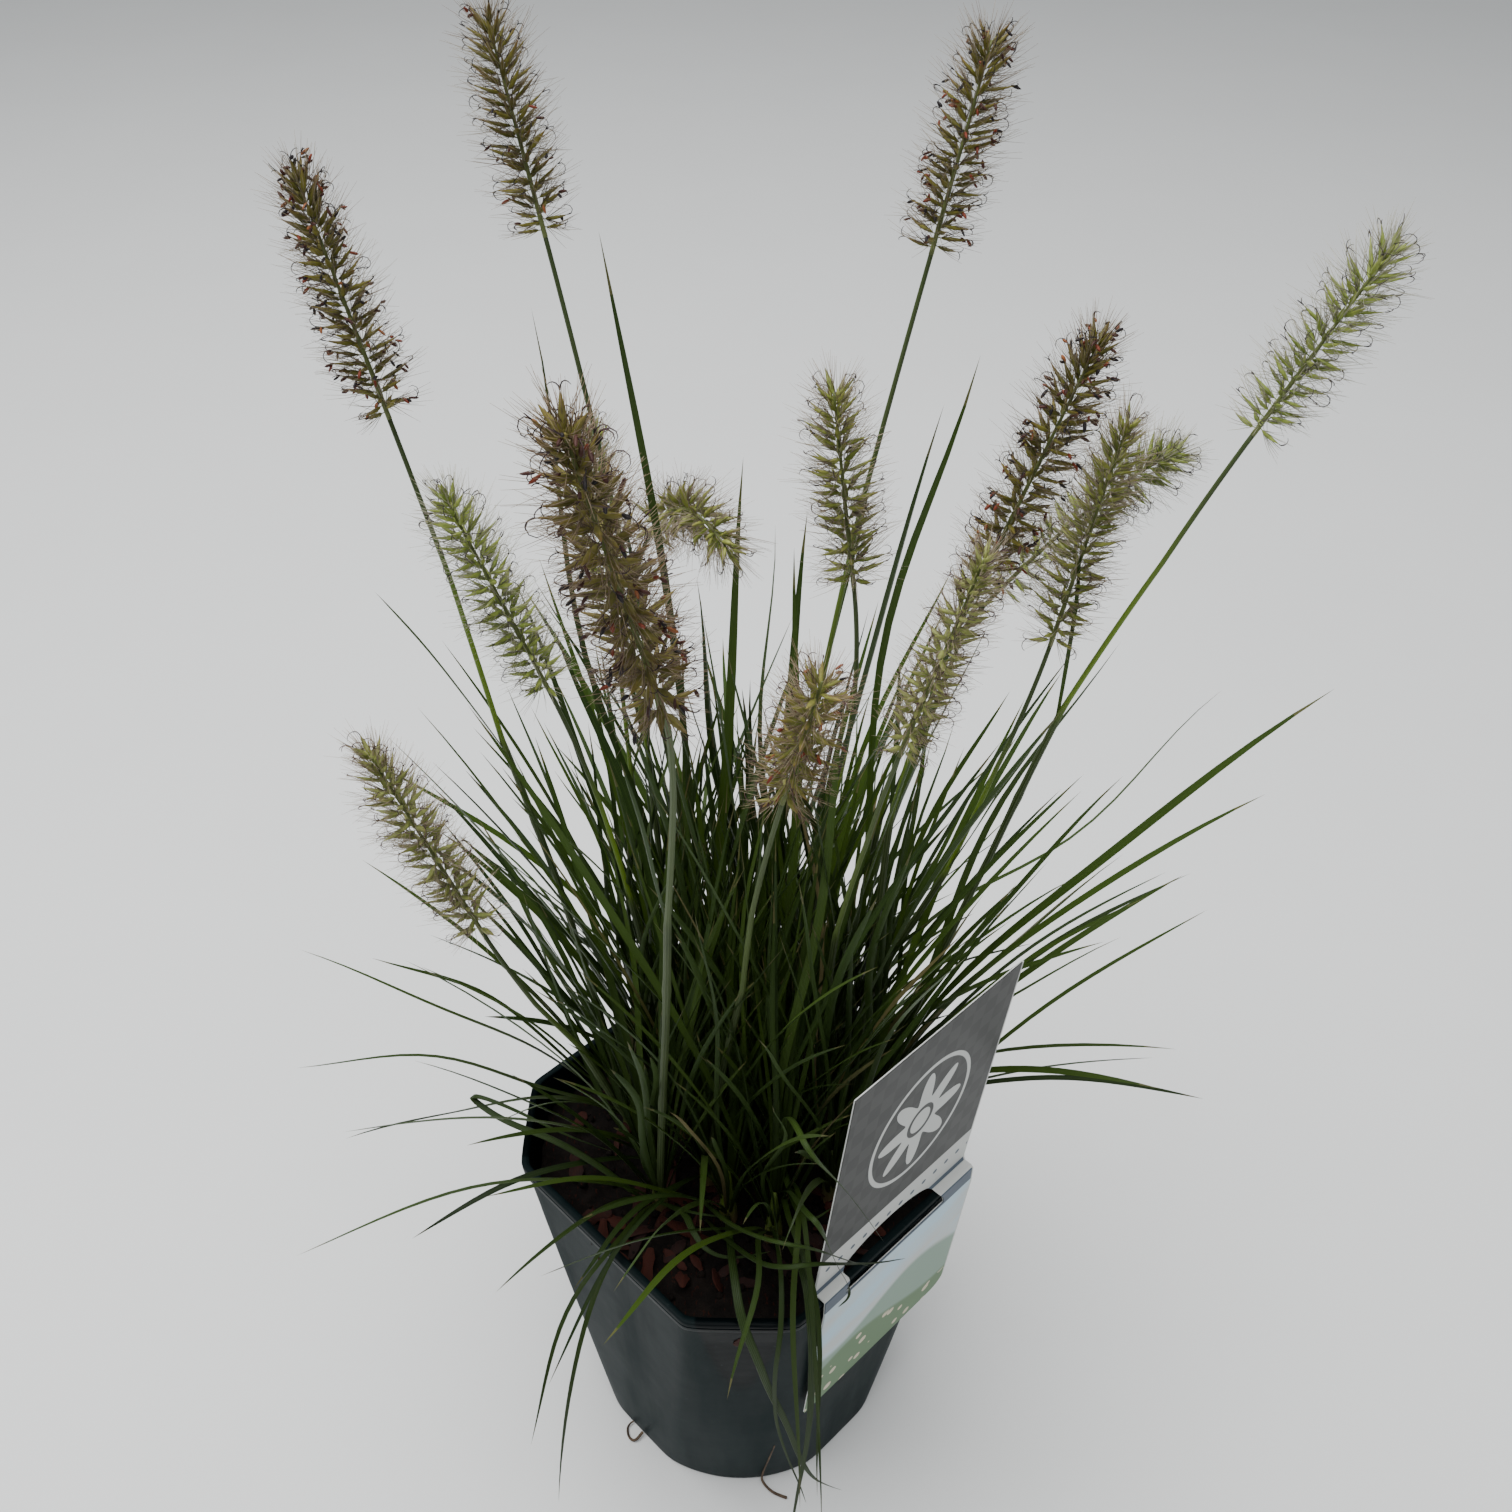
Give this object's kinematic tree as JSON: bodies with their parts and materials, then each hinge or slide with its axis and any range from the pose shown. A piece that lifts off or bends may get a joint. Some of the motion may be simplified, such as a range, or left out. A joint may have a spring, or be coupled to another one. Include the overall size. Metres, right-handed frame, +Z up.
{
  "type": "potted little bunny fountain grass",
  "caption": "Dwarf fountain grass with bottlebrush flower heads, growing in a square nursery pot with a plain label on its rim.",
  "frame": {"origin": "centre of the pot's underside, in the plane that the pot stands on", "axes": "+Z up; -Y is the front, the side that the picture was taken from; the pot's cut corners face +X, -X, +Y and -Y"},
  "size_m": [0.3435, 0.3517, 0.5554],
  "materials": {
    "pot_plastic": "dark slate moulded plastic, semi-gloss",
    "potting_soil": "dark potting soil with reddish bark chips, matte",
    "label_card": "printed plastic card, satin",
    "leaf": "dark green grass blades and stems, satin",
    "flower": "olive green spikelets with pale to purplish bristles, matte"
  },
  "bodies": {
    "root": {"pot": "pot_plastic", "soil": "potting_soil", "label": "label_card", "leafy_stem_01": "leaf", "leafy_stem_02": "leaf", "leafy_stem_03": "leaf", "leafy_stem_04": "leaf", "leafy_stem_05": "leaf", "leafy_stem_06": "leaf", "leafy_stem_07": "leaf", "leafy_stem_08": "leaf", "leafy_stem_09": "leaf", "leafy_stem_10": "leaf", "leafy_stem_11": "leaf", "leafy_stem_12": "leaf", "leafy_stem_13": "leaf", "leafy_stem_14": "leaf", "leafy_stem_15": "leaf", "leafy_stem_16": "leaf", "leafy_stem_17": "leaf", "leafy_stem_18": "leaf", "leafy_stem_19": "leaf", "leafy_stem_20": "leaf", "leafy_stem_21": "leaf", "leafy_stem_22": "leaf", "leafy_stem_23": "leaf", "leafy_stem_24": "leaf", "flower_head_01": "flower", "flower_head_02": "flower", "flower_head_03": "flower", "flower_head_04": "flower", "flower_head_05": "flower", "flower_head_06": "flower", "flower_head_07": "flower", "flower_head_08": "flower", "flower_head_09": "flower", "flower_head_10": "flower", "flower_head_11": "flower", "flower_head_12": "flower", "flower_head_13": "flower", "flower_head_14": "flower", "flower_head_15": "flower"}
  },
  "joints": []
}
